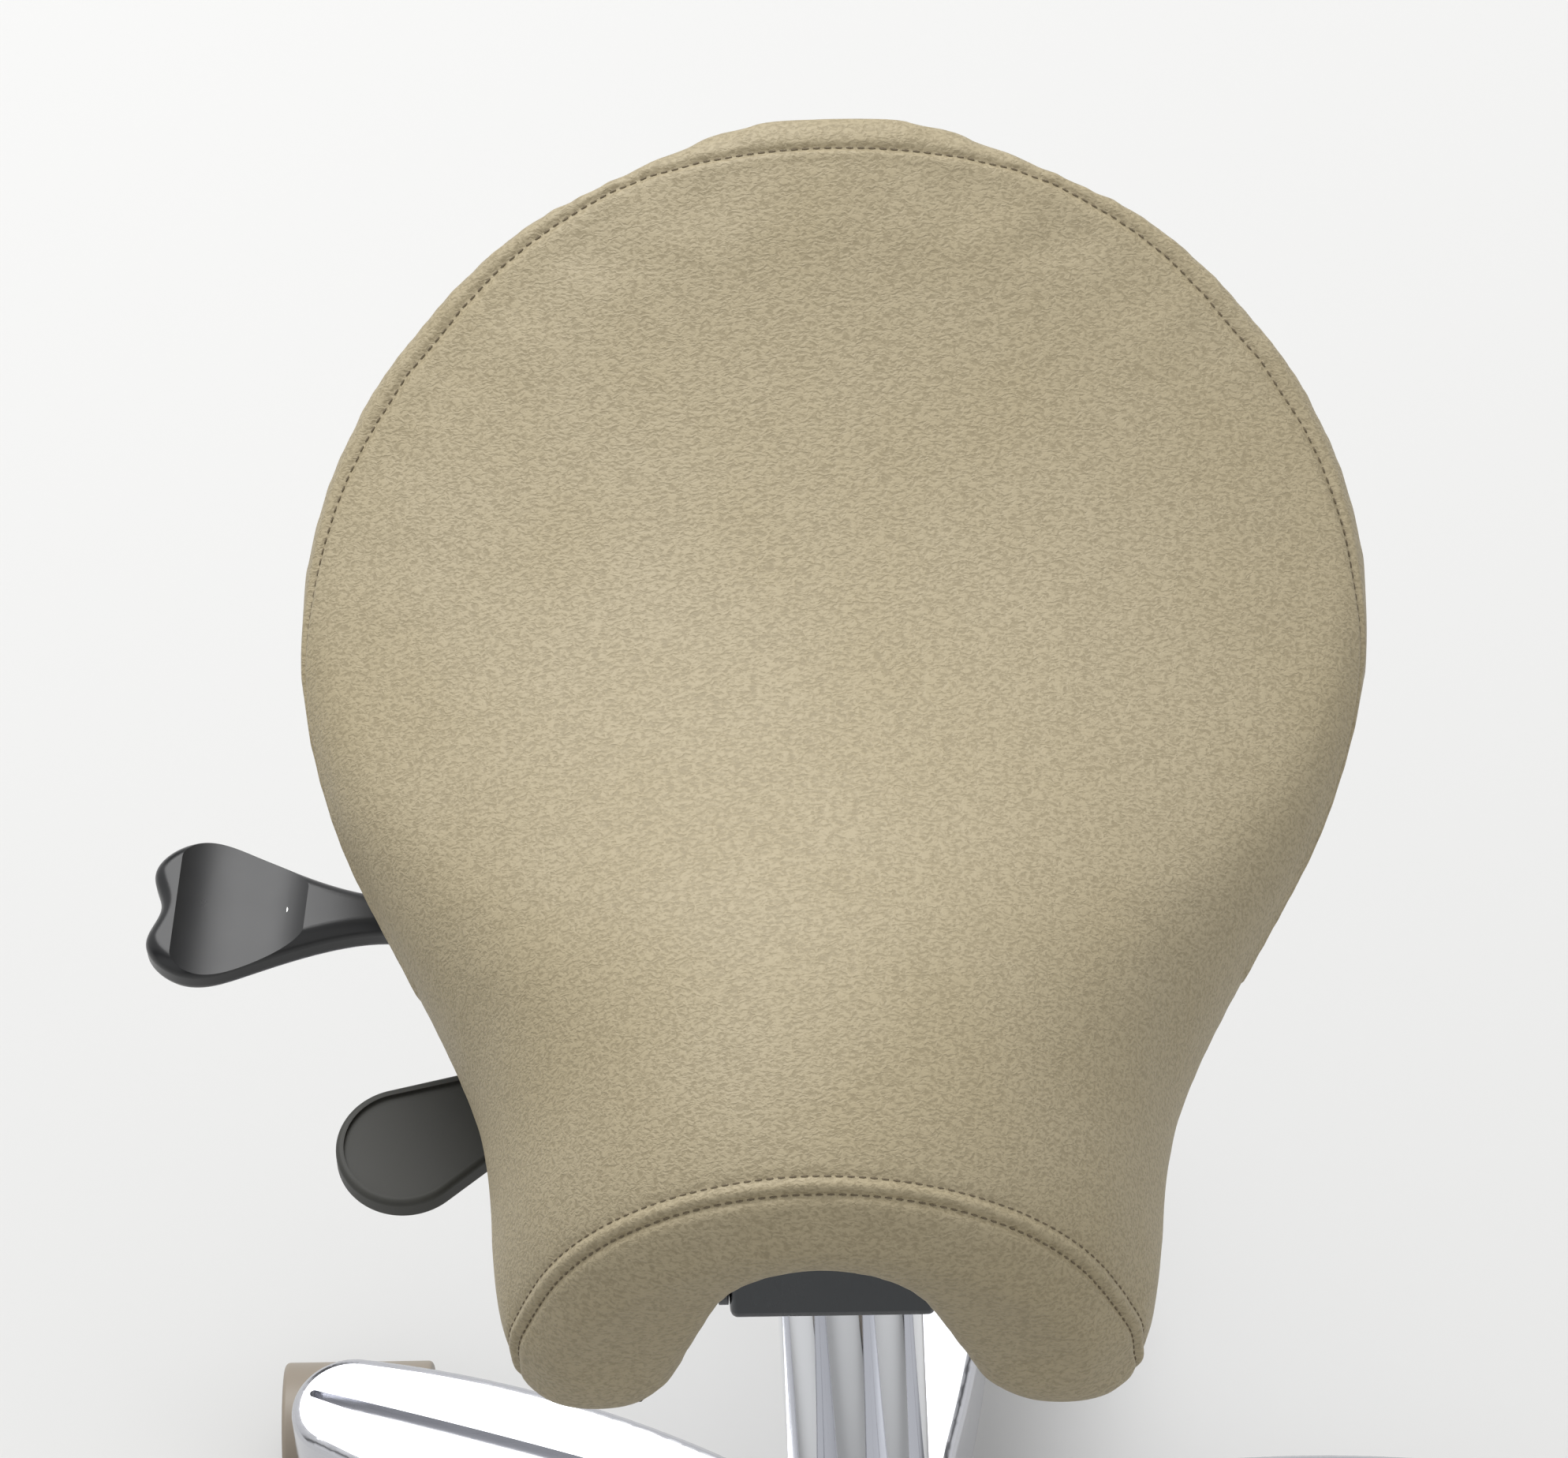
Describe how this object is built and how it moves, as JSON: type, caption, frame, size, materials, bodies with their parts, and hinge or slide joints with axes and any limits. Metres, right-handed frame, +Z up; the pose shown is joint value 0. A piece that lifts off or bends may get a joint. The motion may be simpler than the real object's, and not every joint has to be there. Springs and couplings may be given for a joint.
{
  "type": "saddle stool",
  "caption": "Saddle stool: leather saddle seat on a tilting two-lever mechanism, gas lift column and five-arm polished base on twin-wheel casters.",
  "frame": {"origin": "on the floor, under the column's axis", "axes": "+Z up along the column; -Y is the front of the seat; -X is the side with the two levers"},
  "size_m": [0.4818, 0.4909, 0.7211],
  "materials": {
    "polished_aluminium": "polished die casting",
    "bright_chrome": "bright plated tube",
    "gunmetal_paint": "satin dark grey",
    "zinc_steel": "zinc plated",
    "ground_steel": "ground bar",
    "black_plastic": "moulded, fine grain",
    "satin_black_plastic": "moulded, semi-gloss",
    "white_acetal": "machined bush",
    "taupe_plastic": "moulded, satin",
    "grey_nylon": "wheel nylon",
    "seat_foam": "cut foam",
    "taupe_leather": "grained upholstery hide"
  },
  "bodies": {
    "base": {"star_base": "polished_aluminium", "caster_sleeves": "zinc_steel", "column_outer_tube": "bright_chrome", "column_guide_bush": "white_acetal", "lower_bearing_race": "ground_steel", "thrust_bearing": "ground_steel"},
    "lift_rod": {"piston_rod": "ground_steel", "rod_clip": "zinc_steel", "piston": "white_acetal", "upper_bearing_race": "ground_steel"},
    "mechanism": {"gas_cylinder": "bright_chrome", "cylinder_end_guide": "zinc_steel", "taper_socket": "gunmetal_paint", "mechanism_housing": "gunmetal_paint", "tilt_bushes": "white_acetal", "lock_spindle": "zinc_steel", "clamp_washers": "zinc_steel", "disc_springs": "zinc_steel", "lock_nut": "zinc_steel", "height_lever_pin": "zinc_steel", "lock_lever_pin": "zinc_steel"},
    "valve_pin": {"release_pin": "ground_steel"},
    "seat": {"seat_bracket": "gunmetal_paint", "tilt_shaft": "zinc_steel", "shaft_clips": "zinc_steel", "seat_screws": "zinc_steel", "tee_nuts": "zinc_steel", "seat_pan": "black_plastic", "seat_foam": "seat_foam", "seat_top_panel": "taupe_leather", "seat_front_band": "taupe_leather", "seat_rear_band": "taupe_leather"},
    "height_lever": {"height_lever_rod": "zinc_steel", "height_lever_handle": "satin_black_plastic"},
    "lock_lever": {"lock_lever_arm": "zinc_steel", "lock_lever_handle": "black_plastic"},
    "caster_1": {"caster_1_hood": "taupe_plastic", "caster_1_stem_and_axle": "zinc_steel"},
    "caster_1_left": {"caster_1_left_wheel": "grey_nylon"},
    "caster_1_right": {"caster_1_right_wheel": "grey_nylon"},
    "caster_2": {"caster_2_hood": "taupe_plastic", "caster_2_stem_and_axle": "zinc_steel"},
    "caster_2_left": {"caster_2_left_wheel": "grey_nylon"},
    "caster_2_right": {"caster_2_right_wheel": "grey_nylon"},
    "caster_3": {"caster_3_hood": "taupe_plastic", "caster_3_stem_and_axle": "zinc_steel"},
    "caster_3_left": {"caster_3_left_wheel": "grey_nylon"},
    "caster_3_right": {"caster_3_right_wheel": "grey_nylon"},
    "caster_4": {"caster_4_hood": "taupe_plastic", "caster_4_stem_and_axle": "zinc_steel"},
    "caster_4_left": {"caster_4_left_wheel": "grey_nylon"},
    "caster_4_right": {"caster_4_right_wheel": "grey_nylon"},
    "caster_5": {"caster_5_hood": "taupe_plastic", "caster_5_stem_and_axle": "zinc_steel"},
    "caster_5_left": {"caster_5_left_wheel": "grey_nylon"},
    "caster_5_right": {"caster_5_right_wheel": "grey_nylon"}
  },
  "joints": [
    {"name": "seat_swivel", "type": "hinge", "parent": "base", "child": "lift_rod", "pos_m": [0, 0, 0.072], "axis": [0, 0, 1], "continuous": true},
    {"name": "height_lift", "type": "slide", "parent": "lift_rod", "child": "mechanism", "axis": [0, 0, 1], "range_m": [-0.1, 0.1]},
    {"name": "seat_tilt", "type": "hinge", "parent": "mechanism", "child": "seat", "pos_m": [0, -0.113, 0.538], "axis": [1, 0, 0], "range_deg": [-4, 12]},
    {"name": "height_lever_lift", "type": "hinge", "parent": "mechanism", "child": "height_lever", "pos_m": [-0.02391, 0.00209, 0.554], "axis": [0.0872, 0.9962, 0], "range_deg": [0, 8], "stiffness_Nm_per_rad": 1.5, "springref_deg": -11.46},
    {"name": "valve_pin_press", "type": "slide", "parent": "mechanism", "child": "valve_pin", "axis": [0, 0, 1], "range_m": [-0.0042, 0]},
    {"name": "lock_lever_lift", "type": "hinge", "parent": "mechanism", "child": "lock_lever", "pos_m": [-0.0487, -0.045, 0.55], "axis": [0, 1, 0], "range_deg": [0, 18]},
    {"name": "caster_1_swivel", "type": "hinge", "parent": "base", "child": "caster_1", "pos_m": [0.20621, 0.03971, 0.063], "axis": [0, 0, 1], "continuous": true},
    {"name": "caster_1_left_roll", "type": "hinge", "parent": "caster_1", "child": "caster_1_left", "pos_m": [0.21973, 0.0211, 0.025], "axis": [-0.809, -0.5878, 0], "continuous": true},
    {"name": "caster_1_right_roll", "type": "hinge", "parent": "caster_1", "child": "caster_1_right", "pos_m": [0.21973, 0.0211, 0.025], "axis": [-0.809, -0.5878, 0], "continuous": true},
    {"name": "caster_2_swivel", "type": "hinge", "parent": "base", "child": "caster_2", "pos_m": [0.02596, 0.20839, 0.063], "axis": [0, 0, 1], "continuous": true},
    {"name": "caster_2_left_roll", "type": "hinge", "parent": "caster_2", "child": "caster_2_left", "pos_m": [0.04783, 0.2155, 0.025], "axis": [0.309, -0.9511, 0], "continuous": true},
    {"name": "caster_2_right_roll", "type": "hinge", "parent": "caster_2", "child": "caster_2_right", "pos_m": [0.04783, 0.2155, 0.025], "axis": [0.309, -0.9511, 0], "continuous": true},
    {"name": "caster_3_swivel", "type": "hinge", "parent": "base", "child": "caster_3", "pos_m": [-0.19017, 0.08908, 0.063], "axis": [0, 0, 1], "continuous": true},
    {"name": "caster_3_left_roll", "type": "hinge", "parent": "caster_3", "child": "caster_3_left", "pos_m": [-0.19017, 0.11208, 0.025], "axis": [1, 0, 0], "continuous": true},
    {"name": "caster_3_right_roll", "type": "hinge", "parent": "caster_3", "child": "caster_3_right", "pos_m": [-0.19017, 0.11208, 0.025], "axis": [1, 0, 0], "continuous": true},
    {"name": "caster_4_swivel", "type": "hinge", "parent": "base", "child": "caster_4", "pos_m": [-0.14349, -0.15333, 0.063], "axis": [0, 0, 1], "continuous": true},
    {"name": "caster_4_left_roll", "type": "hinge", "parent": "caster_4", "child": "caster_4_left", "pos_m": [-0.16536, -0.14623, 0.025], "axis": [0.309, 0.9511, 0], "continuous": true},
    {"name": "caster_4_right_roll", "type": "hinge", "parent": "caster_4", "child": "caster_4_right", "pos_m": [-0.16536, -0.14623, 0.025], "axis": [0.309, 0.9511, 0], "continuous": true},
    {"name": "caster_5_swivel", "type": "hinge", "parent": "base", "child": "caster_5", "pos_m": [0.10149, -0.18385, 0.063], "axis": [0, 0, 1], "continuous": true},
    {"name": "caster_5_left_roll", "type": "hinge", "parent": "caster_5", "child": "caster_5_left", "pos_m": [0.08797, -0.20245, 0.025], "axis": [-0.809, 0.5878, 0], "continuous": true},
    {"name": "caster_5_right_roll", "type": "hinge", "parent": "caster_5", "child": "caster_5_right", "pos_m": [0.08797, -0.20245, 0.025], "axis": [-0.809, 0.5878, 0], "continuous": true}
  ],
  "couplings": [
    {"joint": "valve_pin_press", "follows": "height_lever_lift", "m_per_rad": -0.028648}
  ]
}
